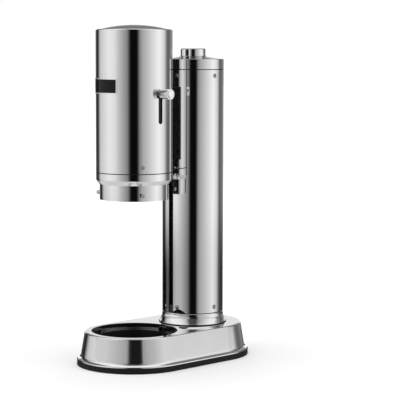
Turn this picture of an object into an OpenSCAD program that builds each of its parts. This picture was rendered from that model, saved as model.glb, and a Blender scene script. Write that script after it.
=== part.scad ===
// Sparkling water maker with a telescoping bottle chamber on a round column.
// Millimetres. The floor is z = 0, the front is -Y, the handle points to +X.
// The chamber is drawn lifted, which is how the machine stands when it is open.

/* [Bottle] */
// Height of the open bottle that the machine is made for
bottle_height = 185; // [175:1:195]
// How far the chamber travels between the base and its lifted place
chamber_lift = 197; // [190:1:205]
// How far the handle pushes the nozzle head down onto the bottle
handle_travel = 37; // [30:1:38]

/* [Base] */
// Height of the rubber foot under the metal lip
foot_height = 7.5; // [6:0.5:10]
// How far the rubber foot stands out past the metal lip
foot_overhang = 1; // [0.5:0.1:2]
// Width of the rubber foot where it stands on the table
foot_width = 8; // [7:0.5:10]
// Height of the base from the table to its flat top
base_height = 46.5; // [44:0.5:52]
// Thickness of the metal lip at the bottom of the base
lip_thickness = 1.5; // [1:0.1:2.5]
// How far the lip stands out past the foot of the sloping wall
lip_reach = 4.5; // [4:0.1:6]
// Radius of the hollow flare between the wall and the lip
flare_radius = 5; // [4:0.1:6]
// How far the wall leans in between its foot and the top
wall_lean = 5.3; // [3:0.1:6]
// Radius of the rounded edge around the top
edge_radius = 2; // [1:0.1:3]
// Thickness of the cast wall and top
base_wall = 3; // [2.5:0.1:4]
// Width of the rim between the well and the outer edge of the top
well_rim = 9.2; // [8:0.1:12]
// Thickness of the steel plate that closes the base from below
plate_thickness = 2; // [1.5:0.1:2.5]
// Radius of the hole in that plate through which the gas cylinder is changed
service_radius = 40; // [36:0.5:44]

/* [Well] */
// Depth of the lower ring in the well when the chamber is down
ring_insertion = 12.8; // [12:0.1:14]
// Free width between the locking studs and the wall of the well
well_clearance = 5.6; // [5:0.1:8]
// Wall of the well and of the drip tray's seat
well_wall = 2.6; // [2:0.1:3]
// Sheet thickness of the drip tray
tray_wall = 1; // [0.8:0.1:1.5]
// Depth of the drip tray's brim below the top of the base
tray_drop = 11; // [10.5:0.1:12]
// Height of the bottle grid above the floor of the tray
grid_height = 4.4; // [4:0.1:6]

/* [Column] */
// Radius of the gas cylinder
cylinder_radius = 30; // [28:0.5:31]
// Width of the space around the cylinder in which the carriage runs
carriage_space = 12.4; // [12.4:0.1:14]
// Wall of the column tube
column_wall = 1.2; // [1:0.1:1.6]
// Height of the flared collar between the base and the column tube
collar_height = 17.1; // [15:0.1:20]
// How far the collar flares out where it meets the base
collar_flare = 4.2; // [3:0.1:5]
// Height of that flare
collar_flare_height = 8.4; // [6:0.1:10]
// Height of the column tube's top above the bottom of the lifted chamber
column_rise = 177.3; // [172:0.1:185]
// Width of the slot through which the arm leaves the column
column_slot_width = 9; // [8.5:0.1:10]
// Free distance between chamber and column
body_gap = 17.7; // [15:0.1:22]
// Height of the straight side of the lid
lid_height = 15.5; // [12:0.5:16]
// Height of the lid's crown above its side
lid_crown = 4; // [3:0.5:5]
// Radius of the round button
button_radius = 17.7; // [16:0.1:19]
// Height of the button above the crown of the lid
button_rise = 10.5; // [10:0.5:13]
// How far the button goes down
button_travel = 5; // [3:0.5:6]

/* [Chamber] */
// Inside radius of the liner tube that comes down over the bottle
liner_radius = 46.2; // [44:0.2:49]
// Wall of the liner tube
liner_wall = 1.6; // [1.2:0.1:2]
// Width of the space between liner and chamber tube in which the slider runs
slider_space = 3.7; // [3.5:0.1:4.5]
// Wall of the chamber tube
chamber_wall = 1.2; // [1:0.1:1.6]
// Height of the lower ring that shows below the chamber's collar
ring_height = 21.5; // [18:0.5:24]
// Height of the sloping underside of the collar
collar_slope = 6.7; // [6:0.1:9]
// Radius of the rounding between that slope and the straight band
collar_round = 4; // [3:0.1:4.5]
// Height of the collar's straight band
collar_band = 9.8; // [8:0.1:11]
// Height of the groove that shows as a dark line at each seam of the tubes
seam_groove = 1.2; // [0.8:0.1:1.5]
// Depth of that groove
groove_depth = 0.6; // [0.4:0.1:0.8]
// Height of the crown on the chamber
cap_crown = 8.5; // [7:0.5:10]
// Diameter of the locking studs on the lower ring
stud_diameter = 5.7; // [5:0.1:6.5]
// How far the studs stand out from the lower ring
stud_reach = 6.6; // [6:0.1:7.5]
// Height of the studs above the bottom of the lower ring
stud_height = 8; // [7:0.1:9]
// Height of the bare plate on the chamber, with its border
badge_height = 21.2; // [16:0.1:24]
// Angle around the chamber that the plate covers
badge_angle = 73; // [50:1:90]
// Width of the plate's border
badge_border = 1.5; // [1:0.1:2]

/* [Handle] */
// Height of the handle above the bottom of the lifted chamber
handle_height = 145.8; // [140:0.1:150]
// Diameter of the handle's stem
stem_diameter = 6.6; // [5.5:0.1:7]
// Width of the slot for the stem
handle_slot_width = 7.2; // [7.1:0.1:8]
// Length of the knob
knob_length = 16.6; // [14:0.1:20]
// Radius of the knob at its inner end
knob_inner_radius = 6.6; // [6:0.1:7]
// Radius of the knob at its outer end
knob_outer_radius = 7.4; // [7.1:0.1:9]
// Free distance between the chamber and the knob
knob_gap = 3.5; // [2:0.1:6]

/* [Arm and guides] */
// Thickness of the arm between the column and the chamber
arm_thickness = 7; // [6:0.1:7.5]
// Angle around the chamber that the arm's saddle covers
saddle_angle = 34; // [30:1:44]
// Thickness of the saddle
saddle_thickness = 3; // [2.5:0.1:4]
// Diameter of the two guide rods in the column
rod_diameter = 6; // [5:0.1:6.4]
// Angle of the guide rods to each side of the slot
rod_angle = 32; // [28:1:36]

/* [Hidden] */
$fn = 72;
fit = 0.05;
seat = 0.3;
run = 0.6;
eps = 0.01;

// Radii that follow from each other, from the bottle outwards
liner_outer = liner_radius + liner_wall;
chamber_inner = liner_outer + slider_space;
chamber_radius = chamber_inner + chamber_wall;
stud_tip = liner_outer + stud_reach;
well_radius = stud_tip + well_clearance;
wall_top_radius = well_radius + well_rim;
wall_foot_radius = wall_top_radius + wall_lean;
lip_radius = wall_foot_radius + lip_reach;
foot_radius = lip_radius + foot_overhang;
column_inner = cylinder_radius + carriage_space;
column_radius = column_inner + column_wall;
axis_pitch = chamber_radius + column_radius + body_gap;
chamber_y = -axis_pitch / 2;
column_y = axis_pitch / 2;

// Heights of the base and the well
flare_z = foot_height + lip_thickness + flare_radius;
wall_angle = atan((wall_foot_radius - wall_top_radius) / (base_height - flare_z));
well_floor = foot_height + 3.1;
tray_rim = base_height - tray_drop;
ring_flange = 3;
catch_depth = 14;
grid_top = well_floor + tray_wall + grid_height;

// Heights of the lifted chamber
ring_bottom = base_height - ring_insertion + chamber_lift;
collar_bottom = ring_bottom + ring_height;
band_bottom = collar_bottom + collar_slope;
seam_z = band_bottom + collar_band;
spigot_top = seam_z + 15.5;
chamber_screw_z = seam_z + 8.3;
seal_z = grid_top + bottle_height + chamber_lift + handle_travel;
head_bottom = seal_z + 2;
head_top = head_bottom + 12;
tip_z = seal_z - 140;
yoke_top = head_top + 4;
yoke_bottom = yoke_top - 13;
liner_top = yoke_bottom - handle_travel - 3;
rim_z = yoke_top + 9.5;
cap_thickness = 1.3;
cap_spigot = 7;
stud_z = ring_bottom + stud_height;
handle_z = ring_bottom + handle_height;
slot_low = handle_z - handle_travel - handle_slot_width / 2 - 0.3;
slot_high = handle_z + handle_slot_width / 2 + 0.3;
badge_z = handle_z + 10.4;

// Heights of the column
tube_bottom = base_height + collar_height;
tube_top = ring_bottom + column_rise;
screw_inset = 8;
foot_block_top = tube_bottom + 10.4;
head_block_height = 19;
head_block_bottom = tube_top - head_block_height;
carriage_top = head_block_bottom - 4;
carriage_bottom = foot_block_top + 4 + chamber_lift;
arm_bottom = carriage_bottom + 6;
arm_top = carriage_top - 1;
lid_top = tube_top + lid_height;
crown_top = lid_top + lid_crown;
button_top = crown_top + button_rise;
block_flange = 3;
button_bottom = tube_top + block_flange + button_travel + 0.5;
valve_top = tube_top - 28;
shoulder_top = tube_top - 56;
neck_radius = 11.5;
push_rod_radius = 3;
cylinder_bottom = foot_height + 1.5;

// Places shared by several pieces
stud_angles = [-60, 60, 180];
column_screw_angles = [-90, -15, 15, 90, 180];
bolt_angles = [-135, -70, 70, 135];
guide_radius = cylinder_radius + 6.2;
rod_radius = rod_diameter / 2;
bush_wall = 1;
bush_length = 12;
carriage_inner = cylinder_radius + 1.2;
carriage_outer = column_inner - 1;
carriage_half_angle = 58;
web_end = carriage_outer - 6;
bolt_circle = cylinder_radius + 7;
guide_pin_offset = 18;
head_screws = [-8, 20];
seal_radius = 15;
guide_pin_radius = 2.5;
barb_radius = 1.5;
barb_angle = 85;
barb_recess = 12;
barb_side = 10;
gas_bore = 1.2;
pipe_radius = 1.5;
pipe_ring = (liner_outer + chamber_inner) / 2;
slider_inner = liner_outer + run;
slider_outer = chamber_inner - run;
slider_half_angle = 9;
port_z = arm_top - 8;
arm_screw_heights = [arm_bottom + 12, arm_top - 22];

module at_chamber() { translate([0, chamber_y, 0]) children(); }
module at_column() { translate([0, column_y, 0]) children(); }

// Turns the front direction to an angle, counted from -Y towards +X
module facing(angle) { rotate([0, 0, angle]) children(); }

// Lays a child's +Z along a radius at an angle, a distance and a height
module radial(angle, distance, height) {
    facing(angle) translate([0, -distance, height]) rotate([90, 0, 0]) children();
}

module ring(outer, inner, height) {
    difference() {
        cylinder(r = outer, h = height);
        translate([0, 0, -1]) cylinder(r = inner, h = height + 2);
    }
}

// Part of a ring around the front direction, turned with facing()
module arc_plate(inner, outer, half_angle, height) {
    rotate([0, 0, -90 - half_angle]) rotate_extrude(angle = 2 * half_angle)
        translate([inner, 0]) square([outer - inner, height]);
}

// Carries a half profile round the oval plan of the base
module oval_sweep() {
    at_chamber() rotate([0, 0, 180]) rotate_extrude(angle = 180) children();
    at_column() rotate_extrude(angle = 180) children();
    at_column() rotate([90, 0, 0]) linear_extrude(axis_pitch) {
        children();
        mirror([1, 0]) children();
    }
}

module oval_plate(radius, height) {
    oval_sweep() square([radius, height]);
}

module screw(head_radius, head_height, shank_radius, shank_length) {
    cylinder(r = head_radius, h = head_height);
    translate([0, 0, -shank_length]) cylinder(r = shank_radius, h = shank_length + eps);
}

// Outer profile of the base: lip, hollow flare, leaning wall, rounded top edge
module base_profile() {
    edge_z = base_height - edge_radius;
    edge_r = wall_foot_radius - (edge_z - flare_z) * tan(wall_angle) - edge_radius / cos(wall_angle);
    flare_r = wall_foot_radius + flare_radius / cos(wall_angle);
    difference() {
        union() {
            polygon([
                [0, foot_height], [lip_radius, foot_height], [lip_radius, flare_z],
                [wall_foot_radius, flare_z],
                [edge_r + edge_radius * cos(wall_angle), edge_z + edge_radius * sin(wall_angle)],
                [edge_r, base_height], [0, base_height]
            ]);
            translate([edge_r, edge_z]) circle(r = edge_radius);
        }
        translate([flare_r, flare_z]) circle(r = flare_radius);
    }
}

module base_cavity_profile() {
    top = base_height - base_wall;
    foot_r = wall_foot_radius - base_wall / cos(wall_angle);
    polygon([
        [0, foot_height - 1], [foot_r, foot_height - 1], [foot_r, flare_z],
        [foot_r - (top - flare_z) * tan(wall_angle), top], [0, top]
    ]);
}

boss_radius = 3.6;
boss_height = 16;
bottom_screw_circle = wall_foot_radius - base_wall - boss_radius + 0.4;
module at_bottom_screws() {
    aside = bottom_screw_circle * sin(50);
    ahead = axis_pitch / 2 + bottom_screw_circle * cos(50);
    for (side = [-1, 1], end = [-1, 1]) translate([side * aside, end * ahead, 0]) children();
    for (side = [-1, 1]) translate([side * bottom_screw_circle, 0, 0]) children();
}

module base_shell() {
    color("silver") difference() {
        union() {
            difference() {
                oval_sweep() base_profile();
                oval_sweep() base_cavity_profile();
            }
            at_chamber() translate([0, 0, foot_height + 0.5])
                cylinder(r = well_radius + well_wall, h = base_height - foot_height - 1.5);
            at_bottom_screws() translate([0, 0, foot_height]) cylinder(r = boss_radius, h = boss_height);
        }
        at_chamber() translate([0, 0, well_floor]) cylinder(r = well_radius, h = base_height);
        at_column() cylinder(r = cylinder_radius + 1.5, h = base_height + 1);
        at_column() for (a = bolt_angles) facing(a) translate([0, -bolt_circle, 0])
            cylinder(r = 2.5 + fit, h = base_height + 1);
        at_bottom_screws() cylinder(r = 1.5 + fit, h = foot_height + 10.5);
    }
}

module rubber_foot() {
    color("#1b1b1c") difference() {
        oval_plate(foot_radius, foot_height);
        translate([0, 0, -1]) oval_plate(foot_radius - foot_width, foot_height + 2);
        translate([0, 0, foot_height - plate_thickness - seat])
            oval_plate(wall_foot_radius + seat, foot_height);
    }
}

module bottom_plate() {
    color("#8d9092") difference() {
        translate([0, 0, foot_height - plate_thickness]) oval_plate(wall_foot_radius, plate_thickness);
        at_column() cylinder(r = service_radius, h = foot_height + 1);
        at_bottom_screws() cylinder(r = 1.5 + fit, h = foot_height + 1);
    }
}

module bottom_screws() {
    color("#5a5c5e") at_bottom_screws() translate([0, 0, foot_height - plate_thickness])
        rotate([180, 0, 0]) screw(3, 1.8, 1.5, 10);
}

module drip_tray() {
    outer = well_radius - 0.4;
    color("#707376") at_chamber() rotate_extrude() difference() {
        translate([0, well_floor]) square([outer, tray_rim - well_floor]);
        translate([-1, well_floor + tray_wall]) square([outer - tray_wall + 1, tray_rim]);
    }
}

// Ring in the well that guides the chamber's lower ring
module catch_ring() {
    inner = liner_outer + 1;
    color("#232426") at_chamber() rotate_extrude() {
        translate([inner, tray_rim - catch_depth]) square([2.4, catch_depth + ring_flange]);
        translate([inner, tray_rim]) square([well_radius - 0.6 - inner, ring_flange]);
    }
}

// Three forks on that ring, each open upwards and inwards for one stud
module stud_catches() {
    wall = 1.5;
    gap = stud_diameter + 1.2;
    inner = liner_outer + 3;
    outer = stud_tip + 1 + wall;
    top = stud_z - chamber_lift + stud_diameter / 2;
    color("#c9cbcd") at_chamber() for (a = stud_angles) facing(a) difference() {
        translate([-gap / 2 - wall, -outer, tray_rim + ring_flange])
            cube([gap + 2 * wall, outer - inner, top - tray_rim - ring_flange]);
        translate([-gap / 2, -outer + wall, tray_rim]) cube([gap, outer, 30]);
    }
}

// Round grid that the bottle stands on, with drain slots and three feet
module bottle_grid() {
    radius = liner_radius - 1.2;
    floor_z = well_floor + tray_wall;
    color("#2b2d2f") at_chamber() {
        difference() {
            translate([0, 0, grid_top - 2]) cylinder(r = radius, h = 2);
            for (i = [-3:3]) {
                reach = sqrt(pow(radius - 6, 2) - pow(i * 10, 2));
                translate([i * 10 - 1.5, -reach, grid_top - 3]) cube([3, 2 * reach, 4]);
            }
        }
        for (a = [0, 120, 240]) facing(a) translate([0, -radius + 4, floor_z])
            cylinder(r = 2.5, h = grid_height - 2 + eps);
    }
}

// Collar that stands on the base and flares out at its foot
module column_collar() {
    flare_top = base_height + 1 + collar_flare_height;
    hollow = (pow(collar_flare, 2) + pow(collar_flare_height, 2)) / (2 * collar_flare);
    color("silver") at_column() rotate_extrude() difference() {
        translate([column_inner, base_height]) square([column_wall + collar_flare, collar_height]);
        translate([column_radius + hollow, flare_top]) circle(r = hollow, $fn = 180);
        translate([column_radius, flare_top]) square([collar_flare + 1, collar_height]);
        translate([column_radius - groove_depth, tube_bottom - seam_groove])
            square([groove_depth + 1, seam_groove + 1]);
    }
}

module column_tube() {
    color("silver") at_column() difference() {
        translate([0, 0, tube_bottom]) ring(column_radius, column_inner, tube_top - tube_bottom);
        translate([-column_slot_width / 2, -column_radius - 1, tube_bottom - 1])
            cube([column_slot_width, 8, arm_top + 5 - tube_bottom]);
        for (a = column_screw_angles, z = [tube_bottom + screw_inset, tube_top - screw_inset])
            radial(a, column_inner - 2, z) cylinder(r = 1.2 + fit, h = 6);
    }
}

module column_screws() {
    color("#a9abad") at_column()
        for (a = column_screw_angles, z = [tube_bottom + screw_inset, tube_top - screw_inset])
            radial(a, column_radius, z) screw(2.3, 0.9, 1.2, 7);
}

// Lid with a low crown, a collar that guides the button and three screw pillars
module column_lid() {
    wall = 2;
    edge = 0.8;
    recess = button_radius + 2.5;
    color("silver") at_column() difference() {
        union() {
            rotate_extrude() difference() {
                union() {
                    translate([0, tube_top]) square([column_radius, lid_height - edge]);
                    translate([0, lid_top - edge]) square([column_radius - edge, edge]);
                    translate([column_radius - edge, lid_top - edge]) circle(r = edge);
                    polygon([
                        [0, lid_top - 1], [column_radius - edge, lid_top],
                        [button_radius + 3, crown_top - 0.6], [button_radius + 1.5, crown_top],
                        [0, crown_top]
                    ]);
                }
                polygon([
                    [recess, tube_top - 1], [column_radius - wall, tube_top - 1],
                    [column_radius - wall, lid_top - wall], [recess, lid_top - wall + lid_crown / 2]
                ]);
                translate([-1, tube_top - 1]) square([button_radius + fit + 1, lid_height + lid_crown + 2]);
                translate([column_radius - groove_depth, tube_top - 1]) square([2, seam_groove + 1]);
                translate([-1, tube_top - 1]) square([recess + 1, button_bottom + 4 - tube_top]);
            }
            at_lid_screws() translate([0, 0, tube_top]) cylinder(r = 3.2, h = lid_height - 1);
        }
        at_lid_screws() translate([0, 0, tube_top - 1]) cylinder(r = 1.5 + fit, h = 8);
    }
}

module foot_block() {
    color("#3a3c3e") at_column() difference() {
        translate([0, 0, base_height]) cylinder(r = column_inner - fit, h = foot_block_top - base_height);
        translate([0, 0, base_height - 1]) cylinder(r = cylinder_radius + 1.5, h = foot_block_top);
        for (side = [-1, 1]) facing(side * rod_angle) translate([0, -guide_radius, tube_bottom - 8])
            cylinder(r = rod_radius + fit, h = 40);
        for (a = bolt_angles) facing(a) translate([0, -bolt_circle, base_height - 1])
            cylinder(r = 2.5 + fit, h = 17);
        for (a = column_screw_angles) radial(a, column_inner - 7, tube_bottom + screw_inset)
            cylinder(r = 1.2 + fit, h = 9);
    }
}

module head_block() {
    color("#8d9092") at_column() difference() {
        translate([0, 0, head_block_bottom]) cylinder(r = column_inner - fit, h = head_block_height);
        translate([0, 0, head_block_bottom - 1]) cylinder(r = 15 + fit, h = 30);
        for (side = [-1, 1]) facing(side * rod_angle) translate([0, -guide_radius, head_block_bottom - 1])
            cylinder(r = rod_radius + fit, h = 11);
        for (a = column_screw_angles) radial(a, column_inner - 7, tube_top - screw_inset)
            cylinder(r = 1.2 + fit, h = 9);
        at_lid_screws() translate([0, 0, head_block_bottom - 1]) cylinder(r = 1.5 + fit, h = 30);
        facing(barb_angle) translate([0, -guide_radius, head_block_bottom - 1]) {
            cylinder(r = gas_bore + 0.3 + fit, h = 5);
            cylinder(r = gas_bore, h = 7);
        }
        radial(barb_angle, 10, head_block_bottom + 5) cylinder(r = gas_bore, h = guide_radius - 10);
    }
}

module at_lid_screws() {
    for (a = [60, 180, -60]) facing(a) translate([0, -column_inner + 8.2, 0]) children();
}

module lid_screws() {
    color("#5a5c5e") at_column() at_lid_screws() translate([0, 0, head_block_bottom]) {
        translate([0, 0, -1.8]) cylinder(r = 3, h = 1.8);
        translate([0, 0, -eps]) cylinder(r = 1.5, h = head_block_height + 6);
    }
}

module column_bolts() {
    color("#5a5c5e") at_column() for (a = bolt_angles) facing(a)
        translate([0, -bolt_circle, base_height - base_wall]) rotate([180, 0, 0]) screw(4.2, 4, 2.5, 17);
}

module guide_rods() {
    foot = tube_bottom - 8;
    color("#c9cbcd") at_column() for (side = [-1, 1]) facing(side * rod_angle)
        translate([0, -guide_radius, foot]) cylinder(r = rod_radius, h = head_block_bottom + 10 - foot);
}

// Socket for the cylinder's neck, gas space above it, and the guide of the push rod
module valve_block() {
    color("#c9a45c") at_column() difference() {
        rotate_extrude() difference() {
            union() {
                translate([0, shoulder_top + 8]) square([15, tube_top - shoulder_top - 8]);
                translate([0, tube_top]) square([button_radius + 4.3, block_flange]);
            }
            translate([0, shoulder_top + 7]) square([neck_radius + fit, valve_top - shoulder_top - 5]);
            translate([-1, valve_top]) square([8, head_block_bottom + 8 - valve_top]);
            translate([-1, valve_top]) square([push_rod_radius + fit + 1, 60]);
        }
        radial(barb_angle, 0, head_block_bottom + 5) cylinder(r = gas_bore, h = 20);
    }
}

module valve_gasket() {
    color("#232426") at_column() translate([0, 0, valve_top]) ring(neck_radius - 0.6, 6.2, 2);
}

module co2_cylinder() {
    body_top = shoulder_top - 18;
    wall = 2.5;
    color("#b9bcc0") at_column() rotate_extrude() difference() {
        union() {
            translate([0, cylinder_bottom + 3]) square([cylinder_radius, body_top - cylinder_bottom - 3]);
            translate([0, cylinder_bottom]) square([cylinder_radius - 3, 3 + eps]);
            translate([cylinder_radius - 3, cylinder_bottom + 3]) circle(r = 3);
            intersection() {
                translate([0, body_top - cylinder_radius * 0.25]) circle(r = cylinder_radius * 1.031);
                translate([0, body_top - eps]) square([cylinder_radius, 60]);
            }
        }
        translate([-60, 0]) square([60, shoulder_top + 60]);
        translate([-1, shoulder_top]) square([cylinder_radius + 2, 60]);
        translate([0, cylinder_bottom + 4]) square([cylinder_radius - wall, body_top - cylinder_bottom - 6]);
        translate([-1, cylinder_bottom + 5]) square([8, 400]);
    }
}

module cylinder_valve() {
    color("#c9a45c") at_column() rotate_extrude() {
        translate([2, shoulder_top - 14]) square([4.9, 14 + eps]);
        translate([2, shoulder_top]) square([11, 6]);
        translate([2, shoulder_top + 5]) square([neck_radius - 2, valve_top - shoulder_top - 5]);
    }
}

// Fitting for the end of a gas hose, with its face at z = 0 and the nipple below
module hose_barb() {
    color("#c9a45c") difference() {
        union() {
            translate([0, 0, -3]) cylinder(r = 2.8, h = 3);
            translate([0, 0, -10]) cylinder(r = barb_radius, h = 8);
            translate([0, 0, -9]) cylinder(r1 = barb_radius, r2 = barb_radius + 0.4, h = 1.2);
            translate([0, 0, -eps]) cylinder(r = gas_bore + 0.3, h = 4);
        }
        translate([0, 0, -11]) cylinder(r = 0.7, h = 16);
    }
}

module button_cap() {
    skin = 1.6;
    hollow = button_top - button_bottom - 1.5;
    color("silver") at_column() rotate_extrude() difference() {
        union() {
            translate([0, button_bottom + 3]) square([button_radius, button_top - 1.5 - button_bottom - 3]);
            translate([0, button_top - 1.5 - eps]) square([button_radius - 1.5, 1.5 + eps]);
            translate([button_radius - 1.5, button_top - 1.5]) circle(r = 1.5);
            translate([0, button_bottom]) square([button_radius + 1.6, 2.7]);
            translate([0, button_bottom + 2]) square([button_radius, 2]);
        }
        translate([6, button_bottom - 1]) square([button_radius - skin - 6, hollow]);
        translate([-2, button_bottom - 1]) square([push_rod_radius + fit + 2, hollow]);
        translate([-30, 0]) square([30, 900]);
    }
}

module push_rod() {
    color("#c9cbcd") at_column() translate([0, 0, valve_top + 14])
        cylinder(r = push_rod_radius, h = button_top - 2.5 - valve_top - 14);
}

module valve_pin() {
    color("#c9a45c") at_column() translate([0, 0, valve_top - 8]) cylinder(r = 1.5, h = 22);
}

// Points around a tube's centre line, one ring for each step of a helix
function helix_points(radius, wire, pitch, turns, steps, sides) = [
    for (i = [0:steps * turns], k = [0:sides - 1])
        let (turn = 360 * i / steps, side = 360 * k / sides, r = radius + wire * cos(side))
            [r * cos(turn), r * sin(turn), pitch * i / steps + wire * sin(side)]
];
function helix_faces(rings, sides) = concat(
    [[for (k = [0:sides - 1]) k]],
    [for (i = [0:rings - 2], k = [0:sides - 1])
        let (a = i * sides + k, b = i * sides + (k + 1) % sides)
            each [[a, a + sides, b], [b, a + sides, b + sides]]],
    [[for (k = [sides - 1:-1:0]) (rings - 1) * sides + k]]
);

module button_spring() {
    wire = 0.7;
    turns = 6;
    steps = 20;
    bottom = tube_top + block_flange + seat + wire;
    top = button_top - 2.5 - seat - wire;
    color("#8d9092") at_column() translate([0, 0, bottom])
        polyhedron(
            points = helix_points(9.5, wire, (top - bottom) / turns, turns, steps, 6),
            faces = helix_faces(steps * turns + 1, 6)
        );
}

module chamber_tube() {
    half_slot = handle_slot_width / 2;
    color("silver") at_chamber() difference() {
        translate([0, 0, seam_z]) ring(chamber_radius, chamber_inner, rim_z - seam_z);
        for (z = [slot_low + half_slot, slot_high - half_slot])
            radial(90, chamber_inner - 2, z) cylinder(r = half_slot, h = 6);
        translate([chamber_inner - 2, -half_slot, slot_low + half_slot])
            cube([6, handle_slot_width, slot_high - slot_low - handle_slot_width]);
        for (a = stud_angles) radial(a, chamber_inner - 2, chamber_screw_z) cylinder(r = 1.2 + fit, h = 6);
        for (side = [-1, 1], z = arm_screw_heights)
            radial(180 + side * 10, chamber_inner - 2, z) cylinder(r = 1.5 + fit, h = 6);
        radial(180, chamber_inner - 2, port_z) cylinder(r = 1.5, h = 6);
    }
}

// Pressed cap: a low crown over a spigot that stands in the chamber tube
module chamber_cap() {
    fillet = 1.2;
    spigot_inner = chamber_inner - fit - 1.4;
    level = rim_z + fillet + 0.1;
    hollow = rim_z + 1.6;
    top = rim_z + cap_crown;
    color("silver") at_chamber() {
        rotate_extrude() difference() {
            union() {
                translate([0, rim_z]) square([chamber_radius, 0.4 + eps]);
                translate([0, rim_z + 0.4]) square([chamber_radius - fillet, fillet]);
                intersection() {
                    translate([chamber_radius - fillet, rim_z + 0.4]) circle(r = fillet);
                    translate([0, rim_z + 0.4]) square([chamber_radius, fillet]);
                }
                crown_arc(chamber_radius - fillet * 0.6, level, top - level);
                translate([0, rim_z - cap_spigot]) square([chamber_inner - fit, cap_spigot + eps]);
            }
            translate([0, rim_z - cap_spigot - 1]) square([spigot_inner, hollow - rim_z + cap_spigot + 1]);
            crown_arc(spigot_inner - 2.5, hollow - eps, top - cap_thickness - hollow);
        }
        for (side = [-1, 1]) translate([0, side * guide_pin_offset, yoke_top + 5.5])
            ring(4, guide_pin_radius + fit, top - cap_thickness - yoke_top - 5.5);
    }
}

// Flat circular segment of a given half width and height, standing on a level
module crown_arc(half_width, level, height) {
    radius = (half_width * half_width + height * height) / (2 * height);
    intersection() {
        translate([0, level + height - radius]) circle(r = radius, $fn = 180);
        translate([0, level]) square([half_width, height + 1]);
    }
}

module chamber_collar() {
    inner = liner_outer + fit;
    start = [inner + 0.4, collar_bottom];
    centre = [chamber_radius - collar_round, band_bottom];
    away = centre - start;
    lean = atan2(away[1], away[0]) - asin(collar_round / norm(away));
    tangent = start + sqrt(away * away - collar_round * collar_round) * [cos(lean), sin(lean)];
    color("silver") at_chamber() difference() {
        rotate_extrude() {
            polygon([
                [inner, collar_bottom], start, tangent, centre, [chamber_radius, band_bottom],
                [chamber_radius, seam_z - seam_groove], [chamber_radius - groove_depth, seam_z - seam_groove],
                [chamber_radius - groove_depth, seam_z], [chamber_inner - fit, seam_z],
                [chamber_inner - fit, spigot_top], [inner, spigot_top]
            ]);
            intersection() {
                translate(centre) circle(r = collar_round);
                translate([centre[0], collar_bottom]) square([collar_round, collar_slope]);
            }
        }
        for (a = stud_angles) radial(a, inner - 1, chamber_screw_z) cylinder(r = 1.2 + fit, h = 8);
    }
}

module liner_tube() {
    color("#b9bcc0") at_chamber() difference() {
        translate([0, 0, ring_bottom]) ring(liner_outer, liner_radius, liner_top - ring_bottom);
        for (a = stud_angles) radial(a, liner_radius - 2, stud_z) cylinder(r = 1.6 + fit, h = 6);
    }
}

module lock_studs() {
    radius = stud_diameter / 2;
    color("#c9cbcd") at_chamber() for (a = stud_angles) radial(a, liner_outer + 0.02, stud_z) {
        translate([0, 0, -liner_wall]) cylinder(r = 1.6, h = liner_wall + 1);
        rotate_extrude() {
            square([radius, stud_reach - 0.8]);
            square([radius - 0.8, stud_reach]);
            intersection() {
                translate([radius - 0.8, stud_reach - 0.8]) circle(r = 0.8);
                square([radius, stud_reach]);
            }
        }
    }
}

module chamber_screws() {
    color("#a9abad") at_chamber() for (a = stud_angles)
        radial(a, chamber_radius, chamber_screw_z) screw(2.2, 0.8, 1.2, 4.4);
}

badge_middle = 21.5 - badge_angle / 2;
// Curved plate on the chamber's wall, drawn in by an inset on all four sides
module curved_plate(inner, outer, inset) {
    half_angle = badge_angle / 2 - inset / chamber_radius * 180 / PI;
    at_chamber() facing(badge_middle) translate([0, 0, badge_z - badge_height / 2 + inset])
        arc_plate(inner, outer, half_angle, badge_height - 2 * inset);
}

module badge_frame() {
    color("#d5d7d9") difference() {
        curved_plate(chamber_radius + 0.02, chamber_radius + 0.7, 0);
        curved_plate(chamber_radius - 1, chamber_radius + 2, badge_border);
    }
}

module badge_plate() {
    color("#0b0b0c") curved_plate(chamber_radius + 0.02, chamber_radius + 0.6, badge_border + fit);
}

// Casting that reaches through the column's slot and holds the chamber by a saddle
module arm_plate() {
    saddle_inner = chamber_radius + fit;
    saddle_outer = saddle_inner + saddle_thickness;
    web_start = chamber_y + saddle_inner + 1;
    height = arm_top - arm_bottom;
    color("#8d9092") difference() {
        union() {
            at_chamber() facing(180) translate([0, 0, arm_bottom])
                arc_plate(saddle_inner, saddle_outer, saddle_angle / 2, height);
            translate([-arm_thickness / 2, web_start, arm_bottom])
                cube([arm_thickness, column_y - web_end - web_start, height]);
        }
        at_chamber() radial(180, chamber_inner, chamber_screw_z) cylinder(r = 2.6, h = chamber_wall + 1.5);
        at_chamber() for (side = [-1, 1], z = arm_screw_heights)
            radial(180 + side * 10, chamber_inner, z) cylinder(r = 1.5 + fit, h = 12);
        translate([0, chamber_y, port_z]) rotate([-90, 0, 0])
            cylinder(r = 1.5, h = column_y - web_end - 1.8 - chamber_y);
        at_cross_bore() cylinder(r = gas_bore, h = barb_side);
        at_carriage_screws() cylinder(r = 1.5 + fit, h = 15);
    }
}

module arm_screws() {
    color("#5a5c5e") at_chamber() for (side = [-1, 1], z = arm_screw_heights)
        radial(180 + side * 10, chamber_inner - 1.6, z) {
            cylinder(r = 2.8, h = 1.5);
            cylinder(r = 1.5, h = 1.6 + chamber_wall + saddle_thickness - 0.6);
        }
}

module at_carriage_screws() {
    for (z = [arm_bottom + 14, arm_top - 28])
        translate([0, column_y - carriage_inner, z]) rotate([90, 0, 0]) children();
}

// Bore that takes the gas sideways from the arm into the carriage
module at_cross_bore() {
    translate([0, column_y - web_end - 1.8, port_z]) rotate([0, 90, 0]) children();
}

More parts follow.
